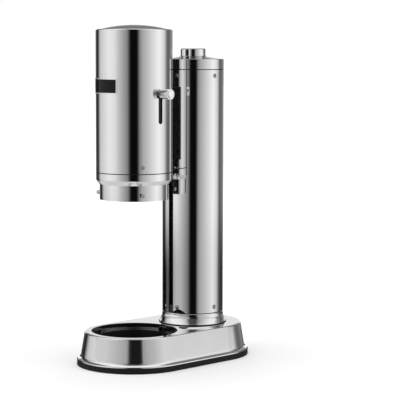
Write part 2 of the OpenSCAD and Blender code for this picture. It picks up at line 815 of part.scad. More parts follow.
// Crescent block that runs on the guide rods between the cylinder and the tube
module carriage() {
    height = carriage_top - carriage_bottom;
    color("#55585b") difference() {
        at_column() translate([0, 0, carriage_bottom])
            arc_plate(carriage_inner, carriage_outer, carriage_half_angle, height);
        translate([-arm_thickness / 2 - fit, column_y - carriage_outer - 2, carriage_bottom - 1])
            cube([arm_thickness + 2 * fit, carriage_outer + 2 - web_end, height + 2]);
        at_column() for (side = [-1, 1]) facing(side * rod_angle)
            translate([0, -guide_radius, carriage_bottom]) {
                translate([0, 0, -1]) cylinder(r = rod_radius + run, h = height + 2);
                translate([0, 0, -1]) cylinder(r = rod_radius + bush_wall + fit, h = bush_length + 1);
                translate([0, 0, height - bush_length])
                    cylinder(r = rod_radius + bush_wall + fit, h = bush_length + 1);
            }
        at_carriage_barb() {
            translate([0, 0, -barb_recess - 1]) cylinder(r = 3.4, h = barb_recess + 1);
            cylinder(r = gas_bore + 0.3 + fit, h = 4);
            cylinder(r = gas_bore, h = port_z - carriage_bottom - barb_recess);
        }
        at_cross_bore() cylinder(r = gas_bore, h = barb_side);
        at_carriage_screws() {
            cylinder(r = 1.5 + fit, h = 15);
            translate([0, 0, -1]) cylinder(r = 3.2, h = 3.4);
        }
    }
}

module carriage_bushes() {
    color("#e6e2d6") at_column()
        for (side = [-1, 1], z = [carriage_bottom, carriage_top - bush_length]) facing(side * rod_angle)
            translate([0, -guide_radius, z]) ring(rod_radius + bush_wall, rod_radius + fit, bush_length);
}

module carriage_screws() {
    color("#5a5c5e") at_carriage_screws() {
        translate([0, 0, 0.6]) cylinder(r = 2.8, h = 1.8);
        translate([0, 0, 2.3]) cylinder(r = 1.5, h = 12);
    }
}

module at_carriage_barb() {
    translate([barb_side, column_y - web_end - 0.2, carriage_bottom + barb_recess]) children();
}

module lower_hose_barb() {
    at_carriage_barb() hose_barb();
}

module upper_hose_barb() {
    at_column() facing(barb_angle) translate([0, -guide_radius, head_block_bottom]) hose_barb();
}

// Small block inside the chamber wall where the gas comes in from the arm
module pipe_port() {
    color("#c9a45c") at_chamber() facing(180) difference() {
        translate([0, 0, port_z - 4]) arc_plate(liner_outer + seat, chamber_inner - fit, 4, 8);
        translate([0, -pipe_ring, port_z]) cylinder(r = pipe_radius - 0.3, h = 5);
        radial(0, pipe_ring, port_z) cylinder(r = 1.2, h = 5);
    }
}

// Steel pipe from the port up between the tubes and over to the feed tube
module gas_pipe() {
    bend = 5;
    level = yoke_top + 4;
    color("#c9cbcd") at_chamber() facing(180) {
        translate([0, -pipe_ring, port_z + 4]) cylinder(r = pipe_radius, h = level - bend - port_z - 4);
        translate([0, -pipe_ring + bend, level - bend]) rotate([90, 0, 90]) rotate([0, 0, 90])
            rotate_extrude(angle = 90) translate([bend, 0]) circle(r = pipe_radius);
        radial(0, guide_pin_offset + guide_pin_radius + 1.6, level)
            cylinder(r = pipe_radius, h = pipe_ring - bend - guide_pin_offset - guide_pin_radius - 1.6);
    }
}

module feed_tube() {
    color("#c9cbcd") at_chamber() facing(180) translate([0, -guide_pin_offset, 0]) difference() {
        union() {
            translate([0, 0, liner_top - 2]) cylinder(r = guide_pin_radius, h = rim_z - 1 - liner_top);
            translate([0, 0, yoke_top + 1.6]) cylinder(r = guide_pin_radius + 1.5, h = 3.9);
        }
        translate([0, 0, liner_top - 3]) cylinder(r = 1.2, h = yoke_top + 8 - liner_top);
    }
}

module head_guide_pin() {
    color("#c9cbcd") at_chamber() translate([0, -guide_pin_offset, liner_top - 2])
        cylinder(r = guide_pin_radius, h = rim_z - 1 - liner_top);
}

// Round knob, a little wider at its outer end, with a shallow dish in its face
module handle_knob() {
    start = chamber_radius + knob_gap;
    edge = 0.8;
    color("silver") at_chamber() radial(90, start, handle_z) difference() {
        rotate_extrude() polygon([
            [0, 0], [knob_inner_radius - edge, 0], [knob_inner_radius, edge],
            [knob_outer_radius, knob_length - edge], [knob_outer_radius - edge, knob_length],
            [0, knob_length]
        ]);
        translate([0, 0, knob_length - 0.8])
            cylinder(r1 = knob_outer_radius - 2.2, r2 = knob_outer_radius - 1.6, h = 1);
        translate([0, 0, -1]) cylinder(r = stem_diameter / 2 - 1 + fit, h = 9);
    }
}

module handle_stem() {
    start = slider_inner;
    color("#c9cbcd") at_chamber() radial(90, start, handle_z) {
        cylinder(r = stem_diameter / 2, h = chamber_radius + knob_gap - start);
        cylinder(r = stem_diameter / 2 - 1, h = chamber_radius + knob_gap - start + 7.5);
    }
}

module handle_slider() {
    bottom = slot_low - 5;
    color("#161617") at_chamber() difference() {
        facing(90) translate([0, 0, bottom])
            arc_plate(slider_inner, slider_outer, slider_half_angle, yoke_top - bottom);
        radial(90, slider_inner - 2, handle_z) cylinder(r = stem_diameter / 2 + fit, h = 8);
        at_yoke_screws() cylinder(r = 1.2 + fit, h = 8);
    }
}

module at_yoke_screws() {
    for (side = [-1, 1]) radial(90 + side * 5, slider_inner - 4, yoke_bottom + 5) children();
}

module nozzle_yoke() {
    color("#8d9092") at_chamber() difference() {
        union() {
            translate([-12, -7, head_top]) cube([12 + slider_inner - 3, 14, yoke_top - head_top]);
            facing(90) translate([0, 0, yoke_bottom])
                arc_plate(slider_inner - 3.2, slider_inner - fit, slider_half_angle - 1,
                    yoke_top - yoke_bottom);
        }
        at_yoke_screws() cylinder(r = 1.2 + fit, h = 8);
        translate([0, 0, head_top - 1]) cylinder(r = 3.5, h = 10);
        for (x = head_screws) translate([x, 0, head_top - 1]) cylinder(r = 1.5 + fit, h = 10);
    }
}

module yoke_screws() {
    color("#5a5c5e") at_chamber() {
        at_yoke_screws() {
            translate([0, 0, -1]) cylinder(r = 2.2, h = 1.6);
            cylinder(r = 1.2, h = 5.6);
        }
        for (x = head_screws) translate([x, 0, yoke_top]) screw(2.6, 1.4, 1.5, 11);
    }
}

module nozzle_head() {
    radius = 25;
    color("#2b2d2f") at_chamber() difference() {
        rotate_extrude() {
            translate([0, head_bottom]) square([seal_radius + 1, head_top - head_bottom]);
            translate([0, head_bottom + 4]) square([radius, head_top - head_bottom - 4]);
        }
        translate([0, 0, head_bottom - 1]) cylinder(r = 3 + fit, h = 20);
        for (side = [-1, 1]) translate([0, side * guide_pin_offset, head_bottom - 1])
            cylinder(r = guide_pin_radius + fit, h = 20);
        translate([0, guide_pin_offset, head_bottom - 1]) cylinder(r = guide_pin_radius + 1.6, h = 8);
        for (x = head_screws) translate([x, 0, head_bottom + 4]) cylinder(r = 1.5 + fit, h = 20);
        translate([-18.5, 0, head_top - 5]) cylinder(r = 2.5 + fit, h = 20);
    }
}

module relief_valve() {
    color("#c9a45c") at_chamber() translate([-18.5, 0, head_top]) {
        translate([0, 0, -5]) cylinder(r = 2.5, h = 5 + eps);
        cylinder(r = 4.2, h = 5, $fn = 6);
        translate([0, 0, 5 - eps]) cylinder(r = 2.4, h = 4);
    }
}

module feed_seal() {
    color("#232426") at_chamber() translate([0, guide_pin_offset, head_bottom + 4.4])
        ring(guide_pin_radius + 1.5, guide_pin_radius + fit, 2.2);
}

module bottle_seal() {
    color("#232426") at_chamber() translate([0, 0, seal_z]) ring(seal_radius, 5, 2);
}

module nozzle_tube() {
    color("#c9cbcd") at_chamber() translate([0, 0, tip_z]) ring(3, 1.5, head_top - tip_z);
}

module nozzle_tip() {
    color("#e8e8e4") at_chamber() rotate_extrude() difference() {
        union() {
            polygon([
                [0, tip_z - 7], [1.6, tip_z - 7], [3.4, tip_z - 4], [3.4, tip_z], [0, tip_z]
            ]);
            translate([0, tip_z - eps]) square([1.4, 6]);
        }
        translate([0, tip_z - 8]) square([0.4, 20]);
    }
}

base_shell();
rubber_foot();
bottom_plate();
bottom_screws();
drip_tray();
catch_ring();
bottle_grid();
column_collar();
column_tube();
column_screws();
column_lid();
lid_screws();
foot_block();
head_block();
column_bolts();
guide_rods();
valve_block();
valve_gasket();
co2_cylinder();
cylinder_valve();
stud_catches();
upper_hose_barb();
button_cap();
push_rod();
valve_pin();
button_spring();
chamber_tube();
chamber_cap();
chamber_collar();
liner_tube();
lock_studs();
chamber_screws();
badge_frame();
badge_plate();
arm_plate();
arm_screws();
carriage();
carriage_bushes();
carriage_screws();
lower_hose_barb();
pipe_port();
gas_pipe();
feed_tube();
head_guide_pin();
handle_knob();
handle_stem();
handle_slider();
nozzle_yoke();
yoke_screws();
nozzle_head();
relief_valve();
feed_seal();
bottle_seal();
nozzle_tube();
nozzle_tip();
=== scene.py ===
import bpy, bmesh
from math import sin, cos, tan, atan2, radians, pi
from mathutils import Vector, Matrix


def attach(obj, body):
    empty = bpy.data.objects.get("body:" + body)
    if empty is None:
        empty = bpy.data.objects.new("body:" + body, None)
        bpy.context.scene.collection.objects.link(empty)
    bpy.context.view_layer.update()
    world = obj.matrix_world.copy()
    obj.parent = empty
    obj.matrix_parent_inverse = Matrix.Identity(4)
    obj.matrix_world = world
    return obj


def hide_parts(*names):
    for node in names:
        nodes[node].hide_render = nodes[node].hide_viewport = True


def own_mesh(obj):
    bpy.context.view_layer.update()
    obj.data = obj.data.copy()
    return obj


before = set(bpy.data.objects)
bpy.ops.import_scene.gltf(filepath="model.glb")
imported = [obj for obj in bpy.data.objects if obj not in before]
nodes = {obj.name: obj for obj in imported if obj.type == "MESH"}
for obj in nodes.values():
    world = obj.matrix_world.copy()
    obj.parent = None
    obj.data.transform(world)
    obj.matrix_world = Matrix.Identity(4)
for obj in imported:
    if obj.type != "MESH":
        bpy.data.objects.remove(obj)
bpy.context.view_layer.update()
scene = bpy.context.scene


# The studio. A pale floor under the machine and a tent of soft light around it, with a black card behind the
# camera and dark gaps at both sides. The polished steel shows all of them as upright bands.
STEEL_SHINE = 0.75


# How strong a light of the tent is, so that the steel, which gives back STEEL_SHINE of it, shows it as a grey
# from 0 to 255
def grey(value):
    level = ((value / 255 + 0.055) / 1.055) ** 2.4 / STEEL_SHINE
    return (level, level, level, 1)


def ramp(tree, stops):
    node = tree.nodes.new("ShaderNodeValToRGB")
    elements = node.color_ramp.elements
    elements.remove(elements[1])
    elements[0].position, elements[0].color = stops[0]
    for position, colour in stops[1:]:
        elements.new(position).color = colour
    return node


def math_node(tree, kind, first, second=None, clamp=False):
    node = tree.nodes.new("ShaderNodeMath")
    node.operation = kind
    node.use_clamp = clamp
    for socket, value in zip(node.inputs, (first, second)):
        if value is None:
            continue
        if isinstance(value, (int, float)):
            socket.default_value = value
        else:
            tree.links.new(value, socket)
    return node.outputs[0]


def span(tree, value, low, high, start=0, end=1):
    node = tree.nodes.new("ShaderNodeMapRange")
    node.interpolation_type = "SMOOTHSTEP"
    for name, number in (("From Min", low), ("From Max", high), ("To Min", start), ("To Max", end)):
        node.inputs[name].default_value = number
    tree.links.new(value, node.inputs["Value"])
    return node.outputs[0]


def blend(tree, factor, first, second):
    node = tree.nodes.new("ShaderNodeMix")
    node.data_type = "RGBA"
    for socket, value in ((node.inputs[0], factor), (node.inputs[6], first), (node.inputs[7], second)):
        if isinstance(value, (tuple, int, float)):
            socket.default_value = value
        else:
            tree.links.new(value, socket)
    return node.outputs[2]


VIEW_ANGLE = radians(46.3)
tent = bpy.data.worlds.new("light_tent")
scene.world = tent
tent.use_nodes = True
tree = tent.node_tree
tree.nodes.clear()
direction = tree.nodes.new("ShaderNodeTexCoord")
turned = tree.nodes.new("ShaderNodeVectorRotate")
turned.rotation_type = "Z_AXIS"
turned.inputs["Angle"].default_value = -VIEW_ANGLE
tree.links.new(direction.outputs["Generated"], turned.inputs["Vector"])
axes = tree.nodes.new("ShaderNodeSeparateXYZ")
tree.links.new(turned.outputs[0], axes.inputs[0])
forward = math_node(tree, "MULTIPLY", axes.outputs["Y"], -1)
azimuth = math_node(tree, "ARCTAN2", axes.outputs["X"], forward)
around = math_node(tree, "MULTIPLY_ADD", azimuth, 0.5 / pi)
around.node.inputs[2].default_value = 0.5
height = math_node(tree, "MULTIPLY", math_node(tree, "ARCSINE", axes.outputs["Z"]), 180 / pi)


# Each wall of the tent is a ring at one height: a backdrop, a soft box at each side with a dark gap behind
# it, and the black card. They are given by a few angles and greys. An angle of 0 is behind the camera and
# 90 is to its right.
def tent_wall(back, left_gap, left_box, card, right_box, right_gap):
    stops = sorted(back + left_gap + left_box + card + right_box + right_gap)
    wall = ramp(tree, [((angle + 180) / 360, grey(value)) for angle, value in stops])
    tree.links.new(around, wall.inputs[0])
    return wall.outputs[0]


BLACK_CARD = ((-12, 40), (-8, 10), (8, 10), (12, 40))
low_wall = tent_wall(
    back=((-180, 50), (-150, 40), (170, 90)),
    left_gap=((-140, 5), (-128, 5)),
    left_box=((-112, 90), (-105, 60), (-65, 180), (-45, 170), (-20, 110)),
    card=BLACK_CARD,
    right_box=((18, 130), (25, 160), (80, 225), (100, 195)),
    right_gap=((115, 90), (130, 50), (150, 50)))
middle_wall = tent_wall(
    back=((-180, 50), (-155, 90), (160, 140), (174, 60)),
    left_gap=((-143, 25), (-136, 45)),
    left_box=((-120, 195), (-80, 230), (-60, 220), (-42, 180), (-20, 130)),
    card=BLACK_CARD,
    right_box=((18, 130), (25, 160), (80, 240), (95, 225), (105, 200)),
    right_gap=((115, 120), (125, 90)))
high_wall = tent_wall(
    back=((-180, 130), (-155, 150), (160, 130)),
    left_gap=((-144, 60), (-138, 10), (-129, 10)),
    left_box=((-115, 155), (-85, 200), (-65, 200), (-16, 160)),
    card=((-10, 60), (-6, 25), (13, 25), (17, 55)),
    right_box=((20, 150), (30, 170), (45, 180), (70, 210), (90, 205)),
    right_gap=((103, 120), (117, 115), (122, 75)))
upper_wall = tent_wall(
    back=((-180, 120), (-157, 190), (155, 180)),
    left_gap=((-143, 60), (-128, 40)),
    left_box=((-115, 190), (-85, 240), (-50, 230), (-28, 190)),
    card=((-14, 75), (12, 65)),
    right_box=((24, 150), (45, 195), (70, 235), (90, 235)),
    right_gap=((104, 150), (125, 75)))

# The backdrop behind the machine is bright at its foot and grows darker up to its top, in degrees of height
BACKDROP_TOP = 28
behind = ramp(tree, [(0, grey(255)), (0.27, grey(255)), (0.33, grey(215)), (0.43, grey(205)),
                     (0.6, grey(115))])
tree.links.new(math_node(tree, "MULTIPLY", height, 1 / BACKDROP_TOP, clamp=True), behind.inputs[0])
aside = math_node(tree, "MULTIPLY", math_node(tree, "ABSOLUTE", azimuth), 180 / pi)

# Where one wall goes over into the next, in degrees above or below level, and for the backdrop's sides in
# degrees round the tent
LOW_WALL_FOOT, LOW_WALL_TOP = (-10.5, -9.4), (-8.2, -5)
HIGH_WALL_FOOT, UPPER_WALL_FOOT = (0.8, 2.6), (9, 15)
BACKDROP_SIDES, BACKDROP_FOOT = (146, 158), (0.7, 0.95)
ROOF_EDGE, FLOOR_EDGE = (52, 68), (-14, -28)
lowest = blend(tree, span(tree, height, *LOW_WALL_FOOT), middle_wall, low_wall)
lower = blend(tree, span(tree, height, *LOW_WALL_TOP), lowest, middle_wall)
front = blend(tree, span(tree, height, *HIGH_WALL_FOOT), lower, high_wall)
raised = blend(tree, span(tree, height, *UPPER_WALL_FOOT), front, upper_wall)
beside, above = span(tree, aside, *BACKDROP_SIDES), span(tree, height, *BACKDROP_FOOT)
backdrop = math_node(tree, "MULTIPLY", beside, above)
ring = blend(tree, backdrop, raised, behind.outputs[0])
roof = blend(tree, span(tree, height, *ROOF_EDGE), ring, grey(245))
below = blend(tree, span(tree, height, *FLOOR_EDGE), roof, grey(200))
shown = tree.nodes.new("ShaderNodeLightPath")
final = blend(tree, shown.outputs["Is Camera Ray"], below, (1, 1, 1, 1))
light = tree.nodes.new("ShaderNodeBackground")
tree.links.new(final, light.inputs["Color"])
output = tree.nodes.new("ShaderNodeOutputWorld")
tree.links.new(light.outputs[0], output.inputs["Surface"])

# The floor is white paper. It glows a little, and more so far away, so that it is lost in the white behind it
# and keeps a soft shadow near the machine.
FLOOR_SIZE = 12
PAPER_GLOW, NEAR_SHARE = (0.45, 0.45, 0.45, 1), 0.2
NEAR_EDGE, FAR_EDGE = 0.12, 1.25
bm = bmesh.new()
bmesh.ops.create_grid(bm, x_segments=2, y_segments=2, size=FLOOR_SIZE)
floor_mesh = bpy.data.meshes.new("floor")
bm.to_mesh(floor_mesh)
bm.free()
floor = bpy.data.objects.new("floor", floor_mesh)
scene.collection.objects.link(floor)
floor.visible_glossy = False
paper = bpy.data.materials.new("white_paper")
paper.use_nodes = True
paper_shader = paper.node_tree.nodes["Principled BSDF"]
paper_shader.inputs["Base Color"].default_value = (0.93, 0.93, 0.93, 1)
paper_shader.inputs["Roughness"].default_value = 0.9
paper_shader.inputs["Emission Strength"].default_value = 1
seen = paper.node_tree.nodes.new("ShaderNodeLightPath")
spot = paper.node_tree.nodes.new("ShaderNodeTexCoord")
away = paper.node_tree.nodes.new("ShaderNodeVectorMath")
away.operation = "LENGTH"
paper.node_tree.links.new(spot.outputs["Object"], away.inputs[0])
far = span(paper.node_tree, away.outputs["Value"], NEAR_EDGE, FAR_EDGE, start=NEAR_SHARE)
shine = math_node(paper.node_tree, "MULTIPLY", far, seen.outputs["Is Camera Ray"])
glow = blend(paper.node_tree, shine, (0, 0, 0, 1), PAPER_GLOW)
paper.node_tree.links.new(glow, paper_shader.inputs["Emission Color"])
floor.data.materials.append(paper)

# One wide lamp high above the machine, whose soft shadow lies on the paper
roof_light = bpy.data.lights.new("roof_lamp", "AREA")
roof_light.size = 1.8
roof_light.energy = 28
roof_lamp = bpy.data.objects.new("roof_lamp", roof_light)
roof_lamp.location = (-0.3, 0.2, 2.6)
towards_machine = Vector((0, 0, 0.2)) - roof_lamp.location
roof_lamp.rotation_euler = towards_machine.to_track_quat("-Z", "Y").to_euler()
roof_lamp.visible_glossy = False
scene.collection.objects.link(roof_lamp)

# The camera looks from the right of the machine's front and a little downwards
CAMERA_DISTANCE, CAMERA_HEIGHT = 2.234, 0.438
CAMERA_HEADING, CAMERA_TILT, CAMERA_ROLL = radians(45), radians(5.44), radians(0.15)
lens = bpy.data.cameras.new("camera")
lens.lens = 143.2
lens.sensor_width = 36
lens.clip_start, lens.clip_end = 0.05, 60
camera = bpy.data.objects.new("camera", lens)
scene.collection.objects.link(camera)
camera.location = (CAMERA_DISTANCE * sin(VIEW_ANGLE), -CAMERA_DISTANCE * cos(VIEW_ANGLE), CAMERA_HEIGHT)
aim = Vector((-sin(CAMERA_HEADING), cos(CAMERA_HEADING), -tan(CAMERA_TILT))).to_track_quat("-Z", "Y")
camera.rotation_euler = (aim.to_matrix() @ Matrix.Rotation(CAMERA_ROLL, 3, "Z")).to_euler()
scene.camera = camera
scene.view_settings.view_transform = "Standard"


# The base. A cast steel shell, ground and polished, with fine grinding lines left round its wall and a lip at
# its foot.
def object_coordinates(tree):
    node = tree.nodes.new("ShaderNodeTexCoord")
    return node.outputs["Object"]


def stretched(tree, vector, scale):
    node = tree.nodes.new("ShaderNodeMapping")
    node.inputs["Scale"].default_value = scale
    tree.links.new(vector, node.inputs["Vector"])
    return node.outputs[0]


def noise(tree, vector, scale, detail):
    node = tree.nodes.new("ShaderNodeTexNoise")
    node.inputs["Detail"].default_value = detail
    if isinstance(scale, (int, float)):
        node.inputs["Scale"].default_value = scale
    else:
        tree.links.new(scale, node.inputs["Scale"])
    tree.links.new(vector, node.inputs["Vector"])
    return node.outputs["Fac"]


def effect_group(name, inputs, outputs):
    group = bpy.data.node_groups.new(name, "ShaderNodeTree")
    group.interface.new_socket(name="Vector", in_out="INPUT", socket_type="NodeSocketVector")
    for label, value in inputs:
        socket = group.interface.new_socket(name=label, in_out="INPUT", socket_type="NodeSocketFloat")
        socket.default_value = value
    for label in outputs:
        group.interface.new_socket(name=label, in_out="OUTPUT", socket_type="NodeSocketFloat")
    return group, group.nodes.new("NodeGroupInput"), group.nodes.new("NodeGroupOutput")


# Polish marks: thin level lines left by the wheel, and cloudy patches where it ran longer
polish_marks, entry, leave = effect_group("polish_marks", (("Lines", 900.0), ("Clouds", 22.0)),
                                          ("Lines", "Clouds"))
level_lines = stretched(polish_marks, entry.outputs["Vector"], (0.012, 0.012, 1))
lines = noise(polish_marks, level_lines, entry.outputs["Lines"], 3.0)
clouds = noise(polish_marks, entry.outputs["Vector"], entry.outputs["Clouds"], 3.0)
polish_marks.links.new(lines, leave.inputs["Lines"])
polish_marks.links.new(clouds, leave.inputs["Clouds"])


def place_group(tree, group, **values):
    node = tree.nodes.new("ShaderNodeGroup")
    node.node_tree = group
    tree.links.new(object_coordinates(tree), node.inputs["Vector"])
    for label, value in values.items():
        node.inputs[label].default_value = value
    return node


def bumped(tree, shader, height, distance):
    node = tree.nodes.new("ShaderNodeBump")
    node.inputs["Strength"].default_value = 1
    node.inputs["Distance"].default_value = distance
    tree.links.new(height, node.inputs["Height"])
    tree.links.new(node.outputs[0], shader.inputs["Normal"])


def tinted(tree, shader, mask, dark, light):
    tree.links.new(blend(tree, mask, (*dark, 1), (*light, 1)), shader.inputs["Base Color"])


def polished_metal(name, dark, light, smooth, dull, lines, clouds, depth):
    material = bpy.data.materials.new(name)
    material.use_nodes = True
    tree = material.node_tree
    shader = tree.nodes["Principled BSDF"]
    shader.inputs["Metallic"].default_value = 1
    marks = place_group(tree, polish_marks, Lines=lines, Clouds=clouds)
    tinted(tree, shader, marks.outputs["Clouds"], dark, light)
    worn = math_node(tree, "MULTIPLY", marks.outputs["Lines"], marks.outputs["Clouds"])
    tree.links.new(span(tree, worn, 0.12, 0.42, smooth, dull), shader.inputs["Roughness"])
    bumped(tree, shader, marks.outputs["Lines"], depth)
    return material


def dress(material, *names):
    for name in names:
        for place in nodes[name].material_slots:
            place.material = material


base_steel = polished_metal("base_steel", (0.72, 0.72, 0.725), (0.765, 0.765, 0.77), 0.05, 0.1, 1400.0, 30.0,
                            0.0000012)
dress(base_steel, "base_shell")


# The foot and the bottom. A moulded black rubber ring under the shell, and a pressed steel plate with six
# screws that closes the base from below.

# Moulded skin: the fine grain of the mould, and wider patches where it is a little duller
moulded_skin, entry, leave = effect_group("moulded_skin", (("Grain", 2600.0), ("Patches", 18.0)),
                                          ("Grain", "Patches"))
grain = noise(moulded_skin, entry.outputs["Vector"], entry.outputs["Grain"], 2.0)
patches = noise(moulded_skin, entry.outputs["Vector"], entry.outputs["Patches"], 4.0)
moulded_skin.links.new(grain, leave.inputs["Grain"])
moulded_skin.links.new(patches, leave.inputs["Patches"])

# Edge wear: the corners of a coated piece, where the coat is rubbed through in places
edge_wear, entry, leave = effect_group("edge_wear", (("Radius", 0.0006),), ("Edge",))
rounded = edge_wear.nodes.new("ShaderNodeBevel")
rounded.samples = 4
edge_wear.links.new(entry.outputs["Radius"], rounded.inputs["Radius"])
plain_side = edge_wear.nodes.new("ShaderNodeNewGeometry")
facing = edge_wear.nodes.new("ShaderNodeVectorMath")
facing.operation = "DOT_PRODUCT"
edge_wear.links.new(rounded.outputs[0], facing.inputs[0])
edge_wear.links.new(plain_side.outputs["Normal"], facing.inputs[1])
rubbed = noise(edge_wear, entry.outputs["Vector"], 260.0, 3.0)
corner = span(edge_wear, facing.outputs["Value"], 0.995, 0.9)
worn_edge = math_node(edge_wear, "MULTIPLY", corner, span(edge_wear, rubbed, 0.42, 0.62))
edge_wear.links.new(worn_edge, leave.inputs["Edge"])


def moulded(name, dark, light, smooth, dull, grain, depth, worn=None, specular=0.5):
    material = bpy.data.materials.new(name)
    material.use_nodes = True
    tree = material.node_tree
    shader = tree.nodes["Principled BSDF"]
    shader.inputs["Specular IOR Level"].default_value = specular
    skin = place_group(tree, moulded_skin, Grain=grain)
    patches = span(tree, skin.outputs["Patches"], 0.3, 0.7)
    colour = blend(tree, patches, (*dark, 1), (*light, 1))
    if worn:
        edge = place_group(tree, edge_wear)
        colour = blend(tree, edge.outputs["Edge"], colour, (*worn, 1))
    tree.links.new(colour, shader.inputs["Base Color"])
    tree.links.new(span(tree, skin.outputs["Patches"], 0.25, 0.75, smooth, dull), shader.inputs["Roughness"])
    bumped(tree, shader, skin.outputs["Grain"], depth)
    return material


rubber = moulded("black_rubber", (0.005, 0.005, 0.005), (0.01, 0.01, 0.011), 0.5, 0.7, 1800.0, 0.00004,
                 specular=0.22)
sheet_steel = polished_metal("sheet_steel", (0.5, 0.5, 0.51), (0.62, 0.62, 0.63), 0.25, 0.4, 500.0, 14.0,
                             0.00001)
screw_steel = polished_metal("screw_steel", (0.42, 0.42, 0.43), (0.55, 0.55, 0.56), 0.12, 0.3, 2500.0, 90.0,
                             0.000004)
dress(rubber, "rubber_foot")
dress(sheet_steel, "bottom_plate")
dress(screw_steel, "bottom_screws")


# The well. A moulded dark liner with a slotted grid that the bottle stands on, a moulded black guide ring
# above it, and three bent forks of darkened steel that catch the studs. The tray and the grid lift out for
# washing.
well_plastic = moulded("well_plastic", (0.006, 0.006, 0.007), (0.012, 0.012, 0.013), 0.38, 0.55, 2200.0,
                       0.000012, specular=0.3)
tray_plastic = moulded("tray_plastic", (0.016, 0.016, 0.017), (0.028, 0.028, 0.03), 0.35, 0.5, 2200.0,
                       0.000015, specular=0.4)
catch_steel = polished_metal("catch_steel", (0.07, 0.07, 0.072), (0.11, 0.11, 0.113), 0.3, 0.45, 500.0, 14.0,
                             0.00001)
dress(well_plastic, "catch_ring")
dress(catch_steel, "stud_catches")
dress(tray_plastic, "drip_tray", "bottle_grid")


# The column. A slotted tube of drawn stainless steel under a turned lid, polished to a mirror, with painted
# shade on the lid's crown, whose colour is darker where it faces up. A moulded foot block and a cast head
# block hold it from inside, with four bolts below and three screws in the lid.
# Painted shade: the colour of faces turned upwards is blended to a dark grey; the roughness is not changed
def paint_top_shade(material, colour):
    tree = material.node_tree
    shader = tree.nodes["Principled BSDF"]
    facing_up = tree.nodes.new("ShaderNodeSeparateXYZ")
    tree.links.new(tree.nodes.new("ShaderNodeTexCoord").outputs["Normal"], facing_up.inputs[0])
    top_shade_share = span(tree, facing_up.outputs["Z"], 0.15, 0.6)
    polished = shader.inputs["Base Color"].links[0].from_socket
    tree.links.new(blend(tree, top_shade_share, polished, (*colour, 1)), shader.inputs["Base Color"])


mirror_steel = polished_metal("mirror_steel", (0.735, 0.735, 0.74), (0.765, 0.765, 0.77), 0.025, 0.055,
                              1100.0, 16.0, 0.0000004)
lid_steel = polished_metal("lid_steel", (0.735, 0.735, 0.74), (0.765, 0.765, 0.77), 0.03, 0.06, 1100.0, 16.0,
                           0.0000004)
paint_top_shade(lid_steel, (0.3, 0.3, 0.305))
cast_block = moulded("cast_block", (0.33, 0.33, 0.34), (0.46, 0.46, 0.47), 0.4, 0.6, 1500.0, 0.00003)
cast_block.node_tree.nodes["Principled BSDF"].inputs["Metallic"].default_value = 1
dress(mirror_steel, "column_tube")
dress(lid_steel, "column_lid")
dress(tray_plastic, "foot_block")
dress(cast_block, "head_block")
dress(screw_steel, "column_bolts", "lid_screws")


# Small screws. Ten hold the column's tube to its blocks and three hold the chamber's shell. Each is a turned
# steel button head with a hexagon socket.
def radial(centre_y, angle, distance, level):
    return (Matrix.Translation((0, centre_y, 0)) @ Matrix.Rotation(radians(angle), 4, "Z")
            @ Matrix.Translation((0, -distance, level)) @ Matrix.Rotation(radians(90), 4, "X"))


def link_piece(name, bm, material, body, slot, *replaced, smooth=True):
    mesh = bpy.data.meshes.new(name)
    if smooth:
        for face in bm.faces:
            face.smooth = True
    bm.to_mesh(mesh)
    bm.free()
    piece = bpy.data.objects.new(name, mesh)
    scene.collection.objects.link(piece)
    mesh.materials.append(material)
    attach(piece, body)
    if replaced:
        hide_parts(*replaced)
    return piece


# A profile of radii and levels, turned once round its axis
def turned_shape(bm, profile, place, steps=48):
    points = [bm.verts.new((radius, 0, level)) for radius, level in profile]
    edges = [bm.edges.new(pair) for pair in zip(points, points[1:])]
    bmesh.ops.spin(bm, geom=points + edges, cent=(0, 0, 0), axis=(0, 0, 1), angle=2 * pi, steps=steps,
                   use_merge=True, use_duplicate=False)
    bmesh.ops.remove_doubles(bm, verts=bm.verts[:], dist=0.000001)
    bmesh.ops.transform(bm, matrix=place, verts=bm.verts[:])
    bmesh.ops.recalc_face_normals(bm, faces=bm.faces[:])


# From the floor of the socket over its rim and down the round head to its foot, as shares of radius and rise
HEAD_CURVE = ((0.42, 0.2), (0.42, 1), (0.62, 0.97), (0.84, 0.72), (0.97, 0.36), (1, 0))


def socket_screw(bm, radius, rise, place):
    first = len(bm.verts)
    loops = []
    for reach, level in HEAD_CURVE:
        loop = bmesh.ops.create_circle(bm, segments=24, radius=radius * reach)["verts"]
        bmesh.ops.translate(bm, vec=(0, 0, rise * level), verts=loop)
        loops.append(loop)
    for loop in loops[:2]:
        for vert in loop:
            turn = (atan2(vert.co.y, vert.co.x) % (pi / 3)) - pi / 6
            vert.co.xy *= cos(pi / 6) / cos(turn)
    rims = [list({edge for vert in loop for edge in vert.link_edges}) for loop in loops]
    for inner, outer in zip(rims, rims[1:]):
        bmesh.ops.bridge_loops(bm, edges=inner + outer)
    bmesh.ops.contextual_create(bm, geom=rims[0])
    bmesh.ops.contextual_create(bm, geom=rims[-1])
    bm.verts.ensure_lookup_table()
    bmesh.ops.transform(bm, matrix=place, verts=bm.verts[first:])


